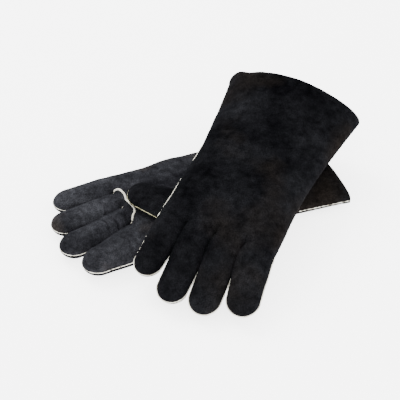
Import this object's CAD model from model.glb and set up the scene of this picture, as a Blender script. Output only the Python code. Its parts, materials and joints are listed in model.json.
"""A pair of black suede gauntlet gloves with cream welted seams, one laid across the other."""
import bpy
import json
import numpy as np
from math import radians
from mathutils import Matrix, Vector, noise


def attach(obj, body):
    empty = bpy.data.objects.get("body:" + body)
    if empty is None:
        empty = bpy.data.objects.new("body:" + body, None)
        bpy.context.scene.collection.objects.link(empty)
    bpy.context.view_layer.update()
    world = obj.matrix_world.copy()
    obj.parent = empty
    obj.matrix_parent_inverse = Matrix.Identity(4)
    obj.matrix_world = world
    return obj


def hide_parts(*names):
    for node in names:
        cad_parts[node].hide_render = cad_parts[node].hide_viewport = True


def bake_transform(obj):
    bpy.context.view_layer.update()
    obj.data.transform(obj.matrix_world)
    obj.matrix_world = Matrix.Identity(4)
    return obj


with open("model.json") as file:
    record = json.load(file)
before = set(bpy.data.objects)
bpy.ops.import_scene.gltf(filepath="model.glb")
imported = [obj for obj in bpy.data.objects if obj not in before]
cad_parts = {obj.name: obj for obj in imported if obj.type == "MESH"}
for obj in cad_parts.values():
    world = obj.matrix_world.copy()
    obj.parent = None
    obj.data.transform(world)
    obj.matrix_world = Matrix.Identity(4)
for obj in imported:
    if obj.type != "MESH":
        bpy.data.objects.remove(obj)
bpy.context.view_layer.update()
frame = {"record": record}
mm = 0.001

# ---------------------------------------------------------------------------
# Hand panels. Each hand is two pieces of split suede, a back and a palm, sewn
# edge to edge down both sides. Off the hand they keep a soft, slumped fullness.

GLOVES = {
    "left": dict(
        turn=(205.0 - 90.0, 0.0, 0.0), palm=1,
        top=(14.0, 14.0, 14.0, 14.0, 15.5), bottom=(13.0, 13.0, 13.0, 13.0, 13.0),
        powers=(2.4, 2.5, 2.6, 3.0, 3.4), lean=0.0,
        splay=dict(little=6.0, ring=1.5, middle=-2.5, index=-5.5),
        droop=dict(little=0.0, ring=0.0, middle=0.0, index=0.0),
        knuckles=258.0, crotches=(-72.0, -19.0, 9.0, 37.0, 69.0), settle=78.0,
        shorter=dict(little=14.5, ring=14.0, middle=14.0, index=15.5),
        index_welt=1.5, little_welt=(1.5, 1.5), finger_welt=1.6, cuff_corner=0.0, thumb_base=(-47.5, 190.0), collar_spread=8.0,
        thumb_height=19.5, thumb_pitch=5.0, thumb_rise=(4.5, 7.5, 8.0)),
    "right": dict(
        turn=(245.5 - 90.0, -5.0, -3.0), palm=-1,
        top=(39.5, 32.0, 24.0, 22.0, 15.5), bottom=(20.0, 14.0, 12.0, 12.0, 12.0),
        powers=(1.8, 2.1, 2.6, 3.0, 3.4), lean=0.10,
        splay=dict(little=3.0, ring=-1.0, middle=-4.5, index=-10.0),
        droop=dict(little=-10.0, ring=-13.0, middle=-14.0, index=-14.0),
        knuckles=244.0, crotches=(-72.0, -37.0, -1.0, 35.5, 69.0), settle=16.0,
        shorter=dict(little=7.0, ring=3.0, middle=7.0, index=8.0),
        index_welt=0.3, little_welt=(1.2, 3.0), finger_welt=2.3, cuff_corner=2.6, thumb_base=(-41.0, 190.0), collar_spread=3.0,
        thumb_height=-20.6, thumb_pitch=-2.0, thumb_rise=(7.0, 8.5, 8.0)),
}
STATIONS = (0.0, 60.0, 120.0, 182.0, 244.0)
LITTLE_HALF = (85.0, 77.0, 70.5, 69.5, 69.0)
INDEX_HALF = (85.0, 77.0, 70.5, 69.5, 72.0)
FINGERS = {"index": (-53.0, 36.0, 89.0), "middle": (-17.0, 35.0, 101.0),
           "ring": (18.0, 34.0, 97.0), "little": (52.0, 32.0, 82.0)}
BASE_RISE = 14.0
FINGER_RISE = 12.0
ACROSS = 36
ROW = 1.5
BEND_REACH = 15.0
SPLAY_REACH = 24.0
VALLEY_RUN = 7.5
LEATHER = 1.4


def turned(z_turn, x_turn, y_turn):
    """Columns are a glove's own x, y and z directions after turning about z, x, y."""
    a, b, c = radians(z_turn), radians(x_turn), radians(y_turn)
    about_z = np.array([[np.cos(a), -np.sin(a), 0], [np.sin(a), np.cos(a), 0], [0, 0, 1]])
    about_x = np.array([[1, 0, 0], [0, np.cos(b), -np.sin(b)], [0, np.sin(b), np.cos(b)]])
    about_y = np.array([[np.cos(c), 0, np.sin(c)], [0, 1, 0], [-np.sin(c), 0, np.cos(c)]])
    return about_z @ about_x @ about_y


def ease(t):
    """A smooth step from 0 to 1."""
    t = np.clip(t, 0, 1)
    return t * t * (3 - 2 * t)


def smooth_through(y, values):
    """A curve through the values at the stations, with no kink at any of them."""
    slopes = np.gradient(np.array(values, float), STATIONS)
    y = np.clip(y, STATIONS[0], STATIONS[-1])
    i = np.clip(np.searchsorted(STATIONS, y, side="right") - 1, 0, len(STATIONS) - 2)
    low, high = np.array(STATIONS)[i], np.array(STATIONS)[i + 1]
    v0, v1 = np.array(values, float)[i], np.array(values, float)[i + 1]
    m0, m1 = slopes[i] * (high - low), slopes[i + 1] * (high - low)
    t = (y - low) / (high - low)
    return ((2 * t**3 - 3 * t**2 + 1) * v0 + (t**3 - 2 * t**2 + t) * m0
            + (3 * t**2 - 2 * t**3) * v1 + (t**3 - t**2) * m1)


for name, glove in GLOVES.items():
    mouth = next(m for m in frame["record"]["mounts"] if m["name"] == f"{name}_cuff_mouth")
    glove["name"] = name
    glove["origin"] = np.array(mouth["pos_m"]) / mm
    glove["axes"] = turned(*glove["turn"])


def spine(glove, finger=None):
    """Centre line and axes from the knuckles out: the droop of the hand, then a finger's splay."""
    along = np.linspace(-BEND_REACH, 130.0, 300)
    common = sum(glove["droop"].values()) / 4
    bent = ease((along + BEND_REACH) / (2 * BEND_REACH))
    lift = np.radians(common) * bent
    swing = np.zeros_like(along)
    middle = 0.0
    if finger:
        middle = FINGERS[finger][0]
        own = np.radians(glove["droop"][finger])
        half = np.radians(common) / 2
        lift = np.where(along > 0, half + (own - half) * (2 * bent - 1), lift)
        swing = np.radians(glove["splay"][finger]) * ease(along / SPLAY_REACH)
    ahead = np.stack([np.sin(swing) * np.cos(lift), np.cos(swing) * np.cos(lift), np.sin(lift)], -1)
    side = np.stack([np.cos(swing), -np.sin(swing), np.zeros_like(swing)], -1)
    up = np.cross(side, ahead)
    step = along[1] - along[0]
    run = np.vstack([np.zeros(3), np.cumsum((ahead[1:] + ahead[:-1]) / 2 * step, 0)])
    centre = run + np.array([middle, glove["knuckles"] - BEND_REACH, 0.0])
    return along, centre, side, up


def laid(glove, x, y, z, finger=None):
    """Flat pattern coordinates to the glove as it lies, in row millimetres."""
    along, centre, side, up = spine(glove, finger)
    q = y - glove["knuckles"]
    middle = FINGERS[finger][0] if finger else 0.0
    pick = lambda table: np.stack([np.interp(q, along, table[:, k]) for k in range(3)], -1)
    bent = pick(centre) + (x - middle)[..., None] * pick(side) + z[..., None] * pick(up)
    flat = np.stack([x, y, z], -1)
    local = np.where((q < -BEND_REACH)[..., None], flat, bent)
    return local @ glove["axes"].T + glove["origin"]


def column_places(crotches):
    """Places across the knuckles, closer together beside each finger seam."""
    places = []
    for low, high in zip(crotches[:-1], crotches[1:]):
        turn = np.linspace(0, np.pi, ACROSS + 1)
        places.append((low + high) / 2 - (high - low) / 2 * np.cos(turn))
    return np.concatenate([places[0]] + [p[1:] for p in places[1:]])


def finger_bow(x, rise, crotches):
    """The four round finger bases seen end on."""
    height = np.zeros_like(x)
    for low, high in zip(crotches[:-1], crotches[1:]):
        t = (x - (low + high) / 2) / ((high - low) / 2)
        height = np.where(np.abs(t) <= 1, rise * np.sqrt(np.clip(1 - t * t, 0, 1)), height)
    return height


def hand_surface(glove, side, grow=0.0):
    """Flat coordinates of one hand panel on a grid: rows from mouth to knuckles."""
    knuckle_x = column_places(glove["crotches"])
    rows = np.linspace(0, glove["knuckles"], int(glove["knuckles"] / ROW))
    y, x0 = np.meshgrid(rows, knuckle_x, indexing="ij")
    little = smooth_through(y, LITTLE_HALF) + grow
    index = smooth_through(y, INDEX_HALF) + grow
    end_little, end_index = LITTLE_HALF[-1], INDEX_HALF[-1]
    across = (x0 - (end_little - end_index) / 2) / ((end_little + end_index) / 2)
    x = (little - index) / 2 + (little + index) / 2 * across
    rise = smooth_through(y, glove["top"] if side > 0 else glove["bottom"])
    power = smooth_through(y, glove["powers"])
    lean = glove["lean"] * (1 - ease(y / 110.0)) if side > 0 else 0.0
    shifted = np.abs(across - lean * (1 - across**2))
    bow = (rise + grow) * np.clip(1 - shifted**power, 0, 1) ** (1 / power)
    knuckled = ease((y - glove["knuckles"] + VALLEY_RUN) / VALLEY_RUN)
    z = (1 - knuckled) * bow + knuckled * finger_bow(x0, BASE_RISE + grow, glove["crotches"])
    if side > 0:
        z += glove["cuff_corner"] * (np.exp(-((x0 - 60.0) / 6.0) ** 2) - 0.7 * np.exp(-((x0 - 46.0) / 8.0) ** 2)) * np.exp(-(y / 16.0) ** 2)
    return x, y, side * z, across


def grid_normals(points, side):
    """Outward directions of a grid of points."""
    down = np.gradient(points, axis=0)
    over = np.gradient(points, axis=1)
    out = np.cross(over, down) * side
    return out / np.maximum(np.linalg.norm(out, axis=-1, keepdims=True), 1e-9)


def gunn_line(glove):
    """Pattern x and y of the seam below the two middle fingers, from ring side to index side."""
    ring_side, index_side = glove["crotches"][3], glove["crotches"][1]
    return (np.array([ring_side + share * (index_side - ring_side) for share, rise in GUNN]),
            np.array([glove["knuckles"] + rise for share, rise in GUNN]))


def leather_waves(x, y, seed):
    """Slow bulges and small unevenness of limp suede, in millimetres."""
    flat = np.stack([x.ravel(), y.ravel()], -1)
    height = np.empty(len(flat))
    for i, (a, b) in enumerate(flat):
        slow = noise.noise(Vector((a / 52, b / 60, seed)))
        quick = noise.noise(Vector((a / 19, b / 24, seed + 9)))
        small = noise.noise(Vector((a / 7, b / 8, seed + 21)))
        height[i] = 2.4 * slow + 0.8 * quick + 0.22 * small
    return height.reshape(x.shape)


def creases(x, y, lines):
    """Folds in the leather: each line is its points, depth and width."""
    depth_map = np.zeros_like(x)
    for points, depth, width in lines:
        near = np.full_like(x, 1e9)
        share = np.zeros_like(x)
        total = len(points) - 1
        for k, ((ax, ay), (bx, by)) in enumerate(zip(points[:-1], points[1:])):
            dx, dy = bx - ax, by - ay
            t = np.clip(((x - ax) * dx + (y - ay) * dy) / (dx * dx + dy * dy), 0, 1)
            gap = np.hypot(x - ax - t * dx, y - ay - t * dy)
            share = np.where(gap < near, (k + t) / total, share)
            near = np.minimum(near, gap)
        fade = np.sin(np.pi * np.clip(share, 0.03, 0.97)) ** 0.7
        groove = np.exp(-(near / width) ** 2)
        lip = np.exp(-((near - 2.1 * width) / (1.1 * width)) ** 2)
        depth_map += depth * fade * (0.45 * lip - groove)
    return depth_map


CREASES = {
    ("left", 1): [
        ([(66, 206), (52, 212), (38, 209)], 1.0, 1.6), ([(67, 188), (50, 193), (36, 188)], 0.8, 1.6),
        ([(-66, 236), (-52, 240), (-38, 236)], 1.5, 1.5), ([(-70, 226), (-50, 231), (-34, 222)], 1.2, 1.8),
        ([(60, 150), (20, 158), (-30, 150)], 1.0, 2.6),
    ],
    ("left", -1): [([(-40, 130), (0, 136), (50, 128)], 1.0, 2.6)],
    ("right", 1): [
        ([(72, 108), (46, 100), (18, 98)], 1.3, 2.6), ([(70, 122), (50, 117), (30, 116)], 0.8, 2.2),
        ([(-69, 96), (-50, 104), (-30, 106)], 1.0, 2.8), ([(-66, 150), (-48, 158), (-34, 170)], 0.8, 2.4),
        ([(10, 190), (-10, 205), (-22, 222)], 0.8, 3.0), ([(40, 214), (33, 224), (35, 236)], 1.0, 2.0),
    ],
    ("right", -1): [([(60, 120), (10, 128), (-50, 118)], 1.2, 2.6), ([(50, 160), (0, 168), (-30, 160)], 1.0, 2.6)],
}
SEAM_FADE = 7.0


def seam_fade(points):
    """0 at both side edges of a grid, 1 well away from them."""
    from_low = np.cumsum(np.linalg.norm(np.diff(points, axis=1, prepend=points[:, :1]), axis=-1), axis=1)
    gap = np.minimum(from_low, from_low[:, -1:] - from_low)
    pucker = 0.16 * np.exp(-((gap - 3.0) / 2.5) ** 2)
    return ease(gap / SEAM_FADE), pucker


def piece(name, points, faces):
    """A mesh object from row millimetres."""
    mesh = bpy.data.meshes.new(name)
    mesh.from_pydata([tuple(p) for p in np.asarray(points).reshape(-1, 3) * mm], [], faces)
    mesh.validate()
    made = bpy.data.objects.new(name, mesh)
    bpy.context.scene.collection.objects.link(made)
    return made


def only(made):
    """Select one object alone."""
    bpy.ops.object.select_all(action="DESELECT")
    made.select_set(True)
    bpy.context.view_layer.objects.active = made


def grid_faces(rows, columns, flip=False):
    """Quads of a grid, wound so that they face outwards."""
    quads = []
    for i in range(rows - 1):
        for j in range(columns - 1):
            a = i * columns + j
            quad = (a, a + 1, a + columns + 1, a + columns)
            quads.append(quad[::-1] if flip else quad)
    return quads


def leather_skin(name, points, side, keep=None, wear=None):
    """A sheet of leather with its thickness on the inside, scuffed where wear is 1."""
    rows, columns = points.shape[:2]
    quads = grid_faces(rows, columns, flip=side > 0)
    if keep is not None:
        quads = [q for q, kept in zip(quads, keep.ravel()) if kept]
    made = piece(name, points, quads)
    if wear is not None:
        scuffed = made.data.attributes.new("wear", "FLOAT", "POINT")
        scuffed.data.foreach_set("value", wear.ravel().astype(np.float32))
    only(made)
    bpy.ops.object.mode_set(mode="EDIT")
    bpy.ops.mesh.select_all(action="SELECT")
    bpy.ops.mesh.remove_doubles(threshold=0.00002)
    bpy.ops.mesh.select_all(action="SELECT")
    bpy.ops.mesh.delete_loose()
    bpy.ops.object.mode_set(mode="OBJECT")
    thick = made.modifiers.new("thickness", "SOLIDIFY")
    thick.thickness = LEATHER * mm
    thick.offset = -1.0
    bpy.ops.object.modifier_apply(modifier="thickness")
    bpy.ops.object.shade_smooth_by_angle(angle=radians(62))
    return made


def suede(name, dark, light, brown, scuff):
    """Napped split leather: mottled black with bluish and brownish clouds, no gloss, paler where worn."""
    mat = bpy.data.materials.new(name)
    mat.use_nodes = True
    nodes, links = mat.node_tree.nodes, mat.node_tree.links
    shader = nodes["Principled BSDF"]
    shader.inputs["Roughness"].default_value = 0.93
    shader.inputs["Specular IOR Level"].default_value = 0.0
    shader.inputs["Sheen Weight"].default_value = 0.008
    shader.inputs["Sheen Roughness"].default_value = 0.45
    shader.inputs["Sheen Tint"].default_value = (0.62, 0.66, 0.76, 1)
    place = nodes.new("ShaderNodeTexCoord")
    noises = {}
    for key, scale, detail, rough in (("cloud", 16, 4, 0.6), ("brown", 11, 3, 0.5),
                                      ("nap", 900, 5, 0.75), ("brushed", 120, 4, 0.6)):
        tex = nodes.new("ShaderNodeTexNoise")
        tex.inputs["Scale"].default_value = scale
        tex.inputs["Detail"].default_value = detail
        tex.inputs["Roughness"].default_value = rough
        links.new(place.outputs["Object"], tex.inputs["Vector"])
        noises[key] = tex
    base = nodes.new("ShaderNodeValToRGB")
    base.color_ramp.elements[0].position = 0.30
    base.color_ramp.elements[0].color = (*dark, 1)
    base.color_ramp.elements[1].position = 0.72
    base.color_ramp.elements[1].color = (*light, 1)
    links.new(noises["cloud"].outputs["Fac"], base.inputs["Fac"])
    warm = nodes.new("ShaderNodeValToRGB")
    warm.color_ramp.elements[0].position = 0.52
    warm.color_ramp.elements[0].color = (0, 0, 0, 1)
    warm.color_ramp.elements[1].position = 0.74
    warm.color_ramp.elements[1].color = (1, 1, 1, 1)
    links.new(noises["brown"].outputs["Fac"], warm.inputs["Fac"])
    tint = nodes.new("ShaderNodeMix")
    tint.data_type = "RGBA"
    tint.inputs["B"].default_value = (*brown, 1)
    links.new(warm.outputs["Color"], tint.inputs["Factor"])
    links.new(base.outputs["Color"], tint.inputs["A"])
    grain = nodes.new("ShaderNodeMapRange")
    grain.inputs["From Min"].default_value = 0.3
    grain.inputs["From Max"].default_value = 0.72
    grain.inputs["To Min"].default_value = 0.0
    grain.inputs["To Max"].default_value = 2.9
    links.new(noises["nap"].outputs["Fac"], grain.inputs["Value"])
    brush = nodes.new("ShaderNodeMapRange")
    brush.inputs["From Min"].default_value = 0.3
    brush.inputs["From Max"].default_value = 0.7
    brush.inputs["To Min"].default_value = 0.6
    brush.inputs["To Max"].default_value = 1.6
    links.new(noises["brushed"].outputs["Fac"], brush.inputs["Value"])
    both = nodes.new("ShaderNodeMath")
    both.operation = "MULTIPLY"
    links.new(grain.outputs["Result"], both.inputs[0])
    links.new(brush.outputs["Result"], both.inputs[1])
    worn = nodes.new("ShaderNodeAttribute")
    worn.attribute_name = "wear"
    paler = nodes.new("ShaderNodeMath")
    paler.operation = "MULTIPLY_ADD"
    paler.inputs[1].default_value = scuff
    paler.inputs[2].default_value = 1.0
    links.new(worn.outputs["Fac"], paler.inputs[0])
    amount = nodes.new("ShaderNodeMath")
    amount.operation = "MULTIPLY"
    links.new(both.outputs["Value"], amount.inputs[0])
    links.new(paler.outputs["Value"], amount.inputs[1])
    speck = nodes.new("ShaderNodeVectorMath")
    speck.operation = "SCALE"
    links.new(tint.outputs["Result"], speck.inputs[0])
    links.new(amount.outputs["Value"], speck.inputs["Scale"])
    links.new(speck.outputs["Vector"], shader.inputs["Base Color"])
    bump = nodes.new("ShaderNodeBump")
    bump.inputs["Strength"].default_value = 0.55
    bump.inputs["Distance"].default_value = 0.0004
    links.new(noises["nap"].outputs["Fac"], bump.inputs["Height"])
    links.new(bump.outputs["Normal"], shader.inputs["Normal"])
    return mat


SUEDE = suede("black suede", (0.0008, 0.0008, 0.0010), (0.0048, 0.0049, 0.0056), (0.0046, 0.0038, 0.0033), 2.6)
GUNN = [(0.01, -4.0), (0.10, -7.5), (0.28, -9.0), (0.46, -7.5), (0.60, -8.5), (0.78, -10.0), (0.92, -8.0), (0.99, -4.0)]
HEM_DEPTH = 12.0
HEM_EDGE = 8.5
HEM_THICK = 0.9
CREASE_WEAR = 0.45
skins = {}

for name, glove in GLOVES.items():
    for side in (1, -1):
        x, y, z, across = hand_surface(glove, side)
        points = laid(glove, x, y, z)
        fade, pucker = seam_fade(points)
        valley = ease((y - glove["knuckles"] + VALLEY_RUN) / VALLEY_RUN)
        from_crotch = np.min([np.abs(x - crotch) for crotch in glove["crotches"]], axis=0)
        fade = fade * (1 - valley * (1 - ease(from_crotch / SEAM_FADE)))
        waves = leather_waves(x, y, 3.0 * side + (40.0 if name == "right" else 0.0))
        folds = creases(x, y, CREASES[name, side])
        pinch = pucker * np.sin(y * 0.85 + 1.3 * np.sin(y * 0.21))
        folds = folds + HEM_THICK * (1 - ease((y - HEM_EDGE + 2.0) / 2.5)) - 0.5 * np.exp(-((y - HEM_EDGE) / 1.2) ** 2)
        if side < 0 and name == "left":
            waves = waves * 0.25
        points = points + grid_normals(points, side)[:] * ((waves + folds) * fade + pinch)[..., None]
        skins[name, side] = (points, x, y)
        palm_face = side == glove["palm"]
        if palm_face:
            line_x, line_y = gunn_line(glove)
            gunn_y = np.interp(-x, -line_x, line_y)
            beyond = (y > gunn_y) & (x < line_x[0]) & (x > line_x[-1])
            cell = beyond[:-1, :-1] & beyond[1:, 1:]
            wear = ease((y - 100.0) / 90.0) + CREASE_WEAR * np.clip(folds, 0, None) * (y > HEM_DEPTH)
            palm = leather_skin(f"{name}_palm", points, side, keep=~cell, wear=wear)
            base = leather_skin(f"{name}_finger_front_base", points, side, keep=cell, wear=wear)
            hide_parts(f"{name}_palm_panel")
            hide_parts(f"{name}_finger_front_base")
            made = [palm, base]
        else:
            back = leather_skin(f"{name}_back", points, side)
            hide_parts(f"{name}_back_panel")
            made = [back]
        for panel in made:
            panel.data.materials.append(SUEDE)
            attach(panel, f"{name}_hand")

# ---------------------------------------------------------------------------
# Fingers. Each is a back and a front of the same suede, running from the hand
# past its middle crease to a round tip, where the two are gathered into the seam.

TIP_ROWS = 16
FINGER_TAPER = 1.6
FINGER_SWELL = 1.3
SHAFT_ROWS = 62
FINGER_CREASES = {
    ("left", "ring"): [((-17, 36), (-4, 33), (12, 38), 1.5, 1.7), ((-14, 47), (0, 44), (15, 49), 1.0, 1.5),
                       ((-16, 20), (0, 24), (14, 20), 0.9, 1.8), ((-12, 62), (2, 60), (14, 66), 0.7, 1.6)],
    ("left", "middle"): [((-17, 34), (-2, 30), (12, 34), 1.7, 1.6), ((-12, 44), (3, 41), (16, 46), 1.4, 1.4),
                         ((-15, 54), (0, 52), (13, 56), 0.8, 1.6), ((-13, 14), (2, 19), (15, 13), 1.2, 1.6)],
    ("left", "index"): [((-16, 33), (0, 30), (16, 35), 1.2, 1.8), ((-17, 12), (-2, 15), (14, 10), 1.3, 1.6),
                        ((-10, 22), (2, 24), (14, 20), 0.8, 1.6)],
    ("left", "little"): [((-14, 34), (0, 31), (14, 34), 0.9, 1.8), ((-13, 12), (0, 15), (14, 12), 0.8, 1.7)],
    ("right", "ring"): [((-14, 12), (0, 9), (13, 13), 0.5, 2.6)],
    ("right", "index"): [((-14, 20), (-4, 34), (2, 52), 0.5, 2.8)],
}


def finger_surface(glove, finger, side, grow=0.0):
    """Flat coordinates of half a finger: rows from the knuckles to the tip."""
    middle, width, length = FINGERS[finger]
    length -= glove["shorter"][finger]
    start = list(FINGERS).index(finger)
    low, high = glove["crotches"][start:start + 2]
    round_start = length - width / 2
    shaft = np.linspace(0, round_start, SHAFT_ROWS)
    turn = np.linspace(0, np.pi / 2, TIP_ROWS + 1)[1:]
    q = np.concatenate([shaft, round_start + (width / 2 + grow) * np.sin(turn)])
    share = np.concatenate([np.ones(SHAFT_ROWS), np.cos(turn)])
    share[-1] = 0.0
    settle = np.sin(np.pi / 2 * np.clip(q / glove["settle"], 0, 1))
    centre = (1 - settle) * (low + high) / 2 + settle * middle
    plump = FINGER_SWELL * ease(q / 8.0) * (1 - ease((q - 22.0) / 26.0)) - FINGER_TAPER * ease(q / length - 0.3)
    half = ((1 - settle) * (high - low) / 2 + settle * width / 2 + plump + grow) * share
    rise = ((1 - settle) * BASE_RISE + settle * FINGER_RISE - 1.0 * q / length + grow) * share
    around = np.linspace(0, np.pi, ACROSS + 1)
    x = centre[:, None] - half[:, None] * np.cos(around)
    z = side * rise[:, None] * np.sin(around) ** 0.9
    y = glove["knuckles"] + q[:, None] + 0 * x
    return x, y, z, q, share


def column_slice(finger):
    """The columns of the hand grid that run into one finger."""
    start = list(FINGERS).index(finger) * ACROSS
    return slice(start, start + ACROSS + 1)


def bend_at_fold(made):
    """The piece turns from hand to finger tip across the crease."""
    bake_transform(made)


for name, glove in GLOVES.items():
    for finger in FINGERS:
        for side in (1, -1):
            face = "front" if side == glove["palm"] else "back"
            x, y, z, q, share = finger_surface(glove, finger, side)
            points = laid(glove, x, y, z, finger)
            fade, pucker = seam_fade(points)
            seed = 3.0 * side + (40.0 if name == "right" else 0.0)
            waves = leather_waves(x, y, seed) * 0.75
            local_x = x - FINGERS[finger][0]
            lines = [((a, b, c), depth, width) for a, b, c, depth, width in FINGER_CREASES.get((name, finger), [])]
            folds = creases(local_x, y - STATIONS[-1], lines) if side == 1 else 0 * x
            pinch = pucker * np.sin(y * 0.9 + 1.5 * np.sin(y * 0.23))
            strength = (share ** 0.5)[:, None]
            if side < 0 and name == "left":
                waves = waves * 0.3
            points = points + grid_normals(points, side) * (((waves + folds) * fade + pinch) * strength)[..., None]
            hand_row = skins[name, side][0][-1, column_slice(finger)]
            settle = ease(q / 10.0)[:, None, None]
            points = points + (1 - settle) * (hand_row - points[0])
            points[-1] = points[-1].mean(0)
            skins[name, finger, side] = points
            made = leather_skin(f"{name}_{finger}_{face}", points, side, wear=(face == "front") + CREASE_WEAR * np.clip(folds, 0, None))
            made.data.materials.append(SUEDE)
            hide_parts(f"{name}_{finger}_{face}")
            bend_at_fold(made)

# ---------------------------------------------------------------------------
# Thumbs. A thumb is an outer and an inner piece of suede on its own slanted
# line, set into the palm through a gathered leather collar.

THUMB_WIDTHS = (58.0, 52.0, 40.0)
THUMB_LENGTH = 82.0
THUMB_LEAN = 48.0
THUMB_ROOT = 16.0
THUMB_CREASES = {"left": [((-18, 60), (0, 56), (16, 62), 0.7, 2.0), ((-20, 30), (0, 26), (18, 32), 0.8, 2.4)],
                 "right": [((-18, 40), (0, 36), (18, 42), 0.8, 2.2)]}


def thumb_axes(glove):
    """The thumb's base and its own directions in the row."""
    base = np.array([*glove["thumb_base"], glove["thumb_height"]]) @ glove["axes"].T + glove["origin"]
    return base, glove["axes"] @ turned(-THUMB_LEAN, glove["thumb_pitch"], 0.0)


def thumb_surface(glove, side, grow=0.0):
    """Half of the thumb in its own coordinates: rows from under the collar to the tip."""
    round_start = THUMB_LENGTH - THUMB_WIDTHS[2] / 2
    shaft = np.linspace(-THUMB_ROOT, round_start, SHAFT_ROWS)
    turn = np.linspace(0, np.pi / 2, TIP_ROWS + 1)[1:]
    q = np.concatenate([shaft, round_start + (THUMB_WIDTHS[2] / 2 + grow) * np.sin(turn)])
    share = np.concatenate([np.ones(SHAFT_ROWS), np.cos(turn)])
    share[-1] = 0.0
    stops = (-THUMB_ROOT, 0.0, round_start / 2, round_start)
    half = (np.interp(q, stops, (46.0, *THUMB_WIDTHS)) / 2 + grow) * share
    r = glove["thumb_rise"]
    rise = (np.interp(q, stops, (2.0, *r)) + grow) * share
    around = np.linspace(0, np.pi, ACROSS + 1)
    x = -half[:, None] * np.cos(around)
    z = side * rise[:, None] * np.sin(around) ** 0.85
    sink = -glove["palm"] * 7.0 * ease(-q / THUMB_ROOT)
    return x, q[:, None] + 0 * x, z + sink[:, None], q, share


def bend_at_base(made):
    """The piece turns from palm to thumb across the thumb's base seam."""
    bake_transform(made)


for name, glove in GLOVES.items():
    base, axes = thumb_axes(glove)
    for side in (1, -1):
        face = "outer" if side == glove["palm"] else "inner"
        x, y, z, q, share = thumb_surface(glove, side)
        points = np.stack([x, y, z], -1) @ axes.T + base
        fade, pucker = seam_fade(points)
        waves = leather_waves(x + 300, y, 7.0 * side + (40.0 if name == "right" else 0.0)) * 0.4
        lines = [((a, b, c), depth, width) for a, b, c, depth, width in THUMB_CREASES[name]]
        folds = creases(x, y, lines) if face == "outer" else 0 * x
        pinch = pucker * np.sin(y * 0.9)
        points = points + grid_normals(points, side) * (((waves + folds) * fade + pinch) * (share**0.5)[:, None])[..., None]
        points[-1] = points[-1].mean(0)
        skins[name, "thumb", side] = points
        made = leather_skin(f"{name}_thumb_{face}", points, side)
        made.data.materials.append(SUEDE)
        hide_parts(f"{name}_thumb_{face}")
        bend_at_base(made)

# ---------------------------------------------------------------------------
# Welts. A narrow strip of undyed leather is sewn into every seam to keep the
# thread off the fire; its pale cut edge stands a little proud of the suede.

WELT_HALF = 0.85
WELT_OUT = 1.7
WELT_IN = 1.1
WELT_SIDES = 10


def cut_leather(name, colour, dull):
    """The cut edge of undyed leather: fibrous, uneven, a little grubby."""
    mat = bpy.data.materials.new(name)
    mat.use_nodes = True
    nodes, links = mat.node_tree.nodes, mat.node_tree.links
    shader = nodes["Principled BSDF"]
    shader.inputs["Roughness"].default_value = 0.85
    shader.inputs["Specular IOR Level"].default_value = 0.25
    place = nodes.new("ShaderNodeTexCoord")
    grime = nodes.new("ShaderNodeTexNoise")
    grime.inputs["Scale"].default_value = 95
    grime.inputs["Detail"].default_value = 5
    fibre = nodes.new("ShaderNodeTexNoise")
    fibre.inputs["Scale"].default_value = 1500
    fibre.inputs["Detail"].default_value = 3
    for tex in (grime, fibre):
        links.new(place.outputs["Object"], tex.inputs["Vector"])
    ramp = nodes.new("ShaderNodeValToRGB")
    ramp.color_ramp.elements[0].position = 0.28
    ramp.color_ramp.elements[0].color = (*dull, 1)
    ramp.color_ramp.elements[1].position = 0.50
    ramp.color_ramp.elements[1].color = (*colour, 1)
    links.new(grime.outputs["Fac"], ramp.inputs["Fac"])
    links.new(ramp.outputs["Color"], shader.inputs["Base Color"])
    bump = nodes.new("ShaderNodeBump")
    bump.inputs["Strength"].default_value = 0.5
    bump.inputs["Distance"].default_value = 0.0003
    links.new(fibre.outputs["Fac"], bump.inputs["Height"])
    links.new(bump.outputs["Normal"], shader.inputs["Normal"])
    return mat


WELT = cut_leather("cream welt leather", (0.66, 0.64, 0.56), (0.30, 0.27, 0.21))
THUMB_WELT = cut_leather("straw welt leather", (0.40, 0.38, 0.24), (0.20, 0.18, 0.11))


def welt_along(name, path, outward, up, mat, body=None, half=WELT_HALF, out=WELT_OUT):
    """A narrow strip with a softly rounded edge that follows a seam."""
    path, outward, up = (np.asarray(a, float) for a in (path, outward, up))
    count = len(path)
    turn = np.linspace(0, 2 * np.pi, WELT_SIDES, endpoint=False)
    rings = []
    out = np.broadcast_to(out, count)
    for i in range(count):
        rough = 1 + 0.16 * noise.noise(Vector(path[i] / 3.1)) + 0.1 * noise.noise(Vector(path[i] / 0.9))
        reach = np.where(np.cos(turn) > 0, out[i] * rough, WELT_IN) * np.sign(np.cos(turn)) * np.abs(np.cos(turn)) ** 0.7
        height = half * rough * np.sign(np.sin(turn)) * np.abs(np.sin(turn)) ** 0.7
        rings.append(path[i] + reach[:, None] * outward[i] + height[:, None] * up[i])
    points = np.array(rings).reshape(-1, 3)
    quads = []
    for i in range(count - 1):
        for k in range(WELT_SIDES):
            a, b = i * WELT_SIDES + k, i * WELT_SIDES + (k + 1) % WELT_SIDES
            quads.append((a, b, b + WELT_SIDES, a + WELT_SIDES))
    quads.append(tuple(range(WELT_SIDES))[::-1])
    quads.append(tuple(range((count - 1) * WELT_SIDES, count * WELT_SIDES)))
    made = piece(name, points, quads)
    only(made)
    bpy.ops.object.mode_set(mode="EDIT")
    bpy.ops.mesh.select_all(action="SELECT")
    bpy.ops.mesh.normals_make_consistent(inside=False)
    bpy.ops.object.mode_set(mode="OBJECT")
    bpy.ops.object.shade_smooth_by_angle(angle=radians(50))
    made.data.materials.append(mat)
    if body:
        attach(made, body)
    return made


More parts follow.
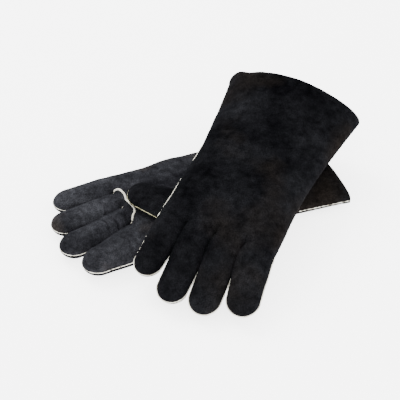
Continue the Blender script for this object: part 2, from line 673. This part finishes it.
def seam_directions(path, up, sign):
    """Unit directions out of a seam, square to it and to the panel's up."""
    along = np.gradient(path, axis=0)
    out = np.cross(along, up) * sign
    up = np.cross(out, along) * sign
    return (v / np.linalg.norm(v, axis=-1, keepdims=True) for v in (out, up))


def sampled(name, side, x, y):
    """Points and outward directions on a finished hand panel."""
    points, grid_x, grid_y = skins[name, side]
    normals = grid_normals(points, side)
    found, facing = [], []
    for a, b in zip(np.atleast_1d(x), np.atleast_1d(y)):
        i = np.clip(b / GLOVES[name]["knuckles"], 0, 1) * (len(points) - 1)
        i0 = min(int(i), len(points) - 2)
        j = np.interp(a, grid_x[i0], np.arange(grid_x.shape[1]))
        j0 = min(int(j), grid_x.shape[1] - 2)
        u, v = i - i0, j - j0
        mix = lambda g: ((1 - u) * (1 - v) * g[i0, j0] + u * (1 - v) * g[i0 + 1, j0]
                         + (1 - u) * v * g[i0, j0 + 1] + u * v * g[i0 + 1, j0 + 1])
        found.append(mix(points))
        facing.append(mix(normals))
    return np.array(found), np.array(facing)


def joined(name, made):
    """Several meshes as one object."""
    only(made[0])
    for other in made[1:]:
        other.select_set(True)
    bpy.ops.object.join()
    made[0].name = name
    made[0].data.name = name
    return made[0]


for name, glove in GLOVES.items():
    y = np.linspace(0.5, glove["knuckles"], 170)
    strips = []
    low, high = glove["little_welt"]
    little_shown = low + (high - low) * ease((y - 90.0) / 40.0)
    for sign, halves, shown in ((1, LITTLE_HALF, little_shown), (-1, INDEX_HALF, glove["index_welt"])):
        x = sign * smooth_through(y, halves)
        path = laid(glove, x, y, 0 * x)
        out, up = seam_directions(path, laid(glove, x, y, 0 * x + 1) - path, sign)
        strips.append(welt_along(f"{name}_strip", path, out, up, WELT, out=shown))
    side_welt = joined(f"{name}_side_welt", strips)
    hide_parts(f"{name}_side_welt")
    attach(side_welt, f"{name}_hand")

    for finger in FINGERS:
        x, y, z, q, share = finger_surface(glove, finger, 1)
        x = np.concatenate([x[:, 0], x[-2::-1, -1]])
        y = np.concatenate([y[:, 0], y[-2::-1, -1]])
        path = laid(glove, x, y, 0 * x, finger)
        above = laid(glove, x, y, 0 * x + 1, finger)
        out, up = seam_directions(path, above - path, -1)
        shown = glove["finger_welt"]
        thin = 0.2 + (shown - 0.2) * ease(q / 18.0)
        low_side, high_side = (shown + 0 * q if finger == outer else thin for outer in ("index", "little"))
        proud = np.concatenate([low_side, high_side[-2::-1]])
        made = welt_along(f"{name}_{finger}_welt", path, out, up, WELT, out=proud)
        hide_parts(f"{name}_{finger}_welt")
        bend_at_fold(made)

    base, axes = thumb_axes(glove)
    x, y, z, q, share = thumb_surface(glove, glove["palm"])
    edge = lambda grid: np.concatenate([grid[:, 0], grid[-2::-1, -1]])
    path = np.stack([edge(x), edge(y), edge(z)], -1) @ axes.T + base
    out, up = seam_directions(path, np.tile(axes[:, 2], (len(path), 1)), -1)
    made = welt_along(f"{name}_thumb_welt", path, out, up, THUMB_WELT, half=0.8, out=1.7)
    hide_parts(f"{name}_thumb_welt")
    bend_at_base(made)

    t = np.linspace(0, 1, 90)
    knots = np.linspace(0, 1, len(GUNN))
    x, y = (np.interp(t, knots, line) for line in gunn_line(glove))
    path, up = sampled(name, glove["palm"], x, y)
    soft = np.ones(9) / 9
    for k in range(3):
        path[4:-4, k] = np.convolve(path[:, k], soft, "valid")
    path = path + up * 1.9
    out, up = seam_directions(path, up, 1)
    made = welt_along(f"{name}_gunn_welt", path, out, up, WELT, f"{name}_hand", half=1.0, out=1.2)
    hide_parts(f"{name}_gunn_welt")

# ---------------------------------------------------------------------------
# Thumb collars. A gathered crescent of suede closes the gap between the palm
# and the root of the thumb, so that the thumb can swing.

COLLAR_BACK = 12.0

for name, glove in GLOVES.items():
    palm_side = glove["palm"]
    base, axes = thumb_axes(glove)
    turn = np.linspace(0, np.pi, 49)
    ring = []
    for t in np.linspace(0, 1, 12):
        half = THUMB_WIDTHS[0] / 2 + 1.0 - t * 0.5 + (1 - t) * glove["collar_spread"]
        x = -half * np.cos(turn)
        back = (THUMB_ROOT + COLLAR_BACK * (1 - t) - 10.0) * np.sin(turn)
        z = palm_side * (glove["thumb_rise"][0] + 0.8) * np.sin(turn) ** 0.85
        high = np.stack([x, 2.0 - back * 0.35, z], -1) @ axes.T + base
        flat = np.stack([x, 6.0 - back - 6.0 * (1 - t), 0 * x], -1) @ axes.T + base
        local = (flat - glove["origin"]) @ glove["axes"]
        low, facing = sampled(name, palm_side, local[:, 0], local[:, 1])
        climb = ease(t)
        gather = 0.5 * np.sin(26 * turn) * np.sin(np.pi * t)
        ring.append(low * (1 - climb) + high * climb + facing * (0.5 + 2.0 * np.sin(np.pi * t) + gather)[:, None])
    made = leather_skin(f"{name}_thumb_collar", np.array(ring), palm_side)
    made.data.materials.append(SUEDE)
    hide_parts(f"{name}_thumb_gusset")
    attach(made, f"{name}_hand")

# ---------------------------------------------------------------------------
# Linings. Brushed cotton fleece fills the hand and fingers, and a plain cotton
# lines the cuff; they are sewn in at the hem and show only in the mouth.

LINING_INSIDE = 2.6
COARSE = 3


def brushed_cotton(name, colour, shade):
    """Undyed cotton: a fine weave under a soft brushed face."""
    mat = bpy.data.materials.new(name)
    mat.use_nodes = True
    nodes, links = mat.node_tree.nodes, mat.node_tree.links
    shader = nodes["Principled BSDF"]
    shader.inputs["Roughness"].default_value = 0.95
    shader.inputs["Sheen Weight"].default_value = 0.3
    place = nodes.new("ShaderNodeTexCoord")
    tuft = nodes.new("ShaderNodeTexNoise")
    tuft.inputs["Scale"].default_value = 520
    tuft.inputs["Detail"].default_value = 4
    weave = nodes.new("ShaderNodeTexWave")
    weave.inputs["Scale"].default_value = 260
    weave.inputs["Distortion"].default_value = 1.5
    for tex in (tuft, weave):
        links.new(place.outputs["Object"], tex.inputs["Vector"])
    ramp = nodes.new("ShaderNodeValToRGB")
    ramp.color_ramp.elements[0].color = (*shade, 1)
    ramp.color_ramp.elements[1].color = (*colour, 1)
    ramp.color_ramp.elements[0].position = 0.3
    ramp.color_ramp.elements[1].position = 0.7
    links.new(tuft.outputs["Fac"], ramp.inputs["Fac"])
    links.new(ramp.outputs["Color"], shader.inputs["Base Color"])
    height = nodes.new("ShaderNodeMath")
    height.operation = "ADD"
    links.new(tuft.outputs["Fac"], height.inputs[0])
    links.new(weave.outputs["Fac"], height.inputs[1])
    bump = nodes.new("ShaderNodeBump")
    bump.inputs["Strength"].default_value = 0.5
    bump.inputs["Distance"].default_value = 0.0005
    links.new(height.outputs["Value"], bump.inputs["Height"])
    links.new(bump.outputs["Normal"], shader.inputs["Normal"])
    return mat


COTTON = brushed_cotton("undyed cotton lining", (0.66, 0.62, 0.53), (0.46, 0.42, 0.34))


def lining_half(name, points, side):
    """The inside of one skin, moved in by the leather and a little air."""
    inner = points - grid_normals(points, side) * LINING_INSIDE
    return leather_skin(name, inner[::COARSE, ::COARSE], side)


for name, glove in GLOVES.items():
    for part, first, last in (("cuff_lining", 9.0, 121.0), ("hand_lining", 118.0, glove["knuckles"])):
        halves = []
        for side in (1, -1):
            points, x, y = skins[name, side]
            rows = (y[:, 0] >= first) & (y[:, 0] <= last)
            halves.append(lining_half(f"{name}_{part}_half", points[rows], side))
        made = joined(f"{name}_{part}", halves)
        made.data.materials.append(COTTON)
        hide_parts(f"{name}_{part}")
        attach(made, f"{name}_hand")
    for finger in [*FINGERS, "thumb"]:
        halves = [lining_half(f"{name}_{finger}_half", skins[name, finger, side][:-3], side) for side in (1, -1)]
        made = joined(f"{name}_{finger}_lining", halves)
        made.data.materials.append(COTTON)
        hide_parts(f"{name}_{finger}_lining")
        if finger == "thumb":
            bend_at_base(made)
        else:
            bend_at_fold(made)

# ---------------------------------------------------------------------------
# Cuff hems. The suede is turned in at the mouth and held by one row of heat
# proof thread a few millimetres from the edge.

STITCH_LINE = 6.8
STITCH_PITCH = 3.6
STITCH_LENGTH = 2.5
STITCH_RADIUS = 0.42

THREAD = bpy.data.materials.new("grey aramid thread")
THREAD.use_nodes = True
thread_nodes, thread_links = THREAD.node_tree.nodes, THREAD.node_tree.links
thread_nodes["Principled BSDF"].inputs["Roughness"].default_value = 0.7
twist = thread_nodes.new("ShaderNodeTexNoise")
twist.inputs["Scale"].default_value = 1800
twist_place = thread_nodes.new("ShaderNodeTexCoord")
twist_ramp = thread_nodes.new("ShaderNodeValToRGB")
twist_ramp.color_ramp.elements[0].color = (0.05, 0.055, 0.065, 1)
twist_ramp.color_ramp.elements[1].color = (0.20, 0.21, 0.24, 1)
thread_links.new(twist_place.outputs["Object"], twist.inputs["Vector"])
thread_links.new(twist.outputs["Fac"], twist_ramp.inputs["Fac"])
thread_links.new(twist_ramp.outputs["Color"], thread_nodes["Principled BSDF"].inputs["Base Color"])


def stitch(where, along, up):
    """One stitch: a short thread that dips into the leather at both ends."""
    along = along / np.linalg.norm(along)
    side = np.cross(up, along)
    rings = []
    turn = np.linspace(0, 2 * np.pi, 6, endpoint=False)
    for t in np.linspace(-1, 1, 6):
        fat = STITCH_RADIUS * np.sqrt(max(1 - 0.85 * t**4, 0.02))
        middle = where + along * t * STITCH_LENGTH / 2 + up * (0.30 - 0.45 * t * t)
        rings.append(middle + fat * (np.cos(turn)[:, None] * side + np.sin(turn)[:, None] * up))
    return np.array(rings).reshape(-1, 3)


for name, glove in GLOVES.items():
    halves, threads = [], []
    for side in (1, -1):
        points, x, y = skins[name, side]
        normals = grid_normals(points, side)
        inward = points[1] - points[0]
        inward /= np.linalg.norm(inward, axis=-1, keepdims=True)
        rows = []
        for turn in np.linspace(0, np.pi, 9):
            rows.append(points[0] + normals[0] * LEATHER * (np.cos(turn) - 1) - inward * LEATHER * np.sin(turn))
        for i in range(1, int(HEM_DEPTH / ROW)):
            rows.append(points[i] - 2 * LEATHER * normals[i])
        halves.append(leather_skin(f"{name}_hem_half", np.array(rows)[:, ::2], side))
        line_x = np.linspace(x[0].min() + 3, x[0].max() - 3, 600)
        line, facing = sampled(name, side, line_x, np.full(600, STITCH_LINE))
        run = np.concatenate([[0], np.cumsum(np.linalg.norm(np.diff(line, axis=0), axis=1))])
        for place in np.arange(2.0, run[-1] - 2.0, STITCH_PITCH):
            here, ahead, up = (np.array([np.interp(place + gap, run, table[:, k]) for k in range(3)])
                               for gap, table in ((0, line), (1.0, line), (0, facing)))
            threads.append(stitch(here, ahead - here, up / np.linalg.norm(up)))
    hem = joined(f"{name}_cuff_hem", halves)
    hem.data.materials.append(SUEDE)
    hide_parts(f"{name}_cuff_hem")
    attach(hem, f"{name}_hand")
    quads = []
    for n in range(len(threads)):
        for i in range(5):
            for k in range(6):
                a, b = n * 36 + i * 6 + k, n * 36 + i * 6 + (k + 1) % 6
                quads.append((a, b, b + 6, a + 6))
        quads.append(tuple(n * 36 + k for k in reversed(range(6))))
        quads.append(tuple(n * 36 + 30 + k for k in range(6)))
    row = piece(f"{name}_hem_stitches", np.concatenate(threads), quads)
    only(row)
    bpy.ops.object.mode_set(mode="EDIT")
    bpy.ops.mesh.select_all(action="SELECT")
    bpy.ops.mesh.normals_make_consistent(inside=False)
    bpy.ops.object.mode_set(mode="OBJECT")
    bpy.ops.object.shade_smooth_by_angle(angle=radians(60))
    row.data.materials.append(THREAD)
    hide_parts(f"{name}_hem_thread")
    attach(row, f"{name}_hand")

# ---------------------------------------------------------------------------
# The table they lie on, and the light and view.

bpy.ops.object.select_all(action="DESELECT")
bpy.ops.mesh.primitive_plane_add(size=8.0, location=(0, 0, 0))
floor = bpy.context.object
floor.name = "floor"
paper = bpy.data.materials.new("white paper")
paper.use_nodes = True
paper.node_tree.nodes["Principled BSDF"].inputs["Base Color"].default_value = (0.95, 0.95, 0.95, 1)
paper.node_tree.nodes["Principled BSDF"].inputs["Roughness"].default_value = 0.9
paper.node_tree.nodes["Principled BSDF"].inputs["Emission Color"].default_value = (1.0, 1.0, 1.0, 1)
paper.node_tree.nodes["Principled BSDF"].inputs["Emission Strength"].default_value = 3.5
floor.data.materials.append(paper)

world = bpy.data.worlds.new("soft white")
bpy.context.scene.world = world
world.use_nodes = True
world.node_tree.nodes["Background"].inputs["Color"].default_value = (1.0, 1.0, 1.0, 1)
world.node_tree.nodes["Background"].inputs["Strength"].default_value = 2.2


def soft_light(name, where, size, power):
    """A large soft box aimed at the gloves."""
    bpy.ops.object.light_add(type="AREA", location=where)
    lamp = bpy.context.object
    lamp.name = name
    lamp.data.size = size
    lamp.data.energy = power
    lamp.rotation_euler = (Vector((0, 0, 0.03)) - Vector(where)).to_track_quat("-Z", "Y").to_euler()


soft_light("key_back_left", (-1.0, 1.3, 1.7), 1.2, 60.0)
soft_light("fill_right", (1.6, -0.3, 1.3), 1.5, 22.0)
soft_light("front_low", (-0.3, -1.7, 0.9), 1.4, 14.0)

ELEVATION = radians(41.0)
DISTANCE = 1.5
look_at = Vector((0.0, -0.010, 0.020))
bpy.ops.object.camera_add()
camera = bpy.context.object
camera.location = look_at + DISTANCE * Vector((0, -np.cos(ELEVATION), np.sin(ELEVATION)))
camera.rotation_euler = (np.pi / 2 - ELEVATION, 0, 0)
camera.data.sensor_width = 36.0
camera.data.lens = 112.5
camera.data.shift_x = -3 / 400
camera.data.shift_y = -4 / 400
bpy.context.scene.camera = camera
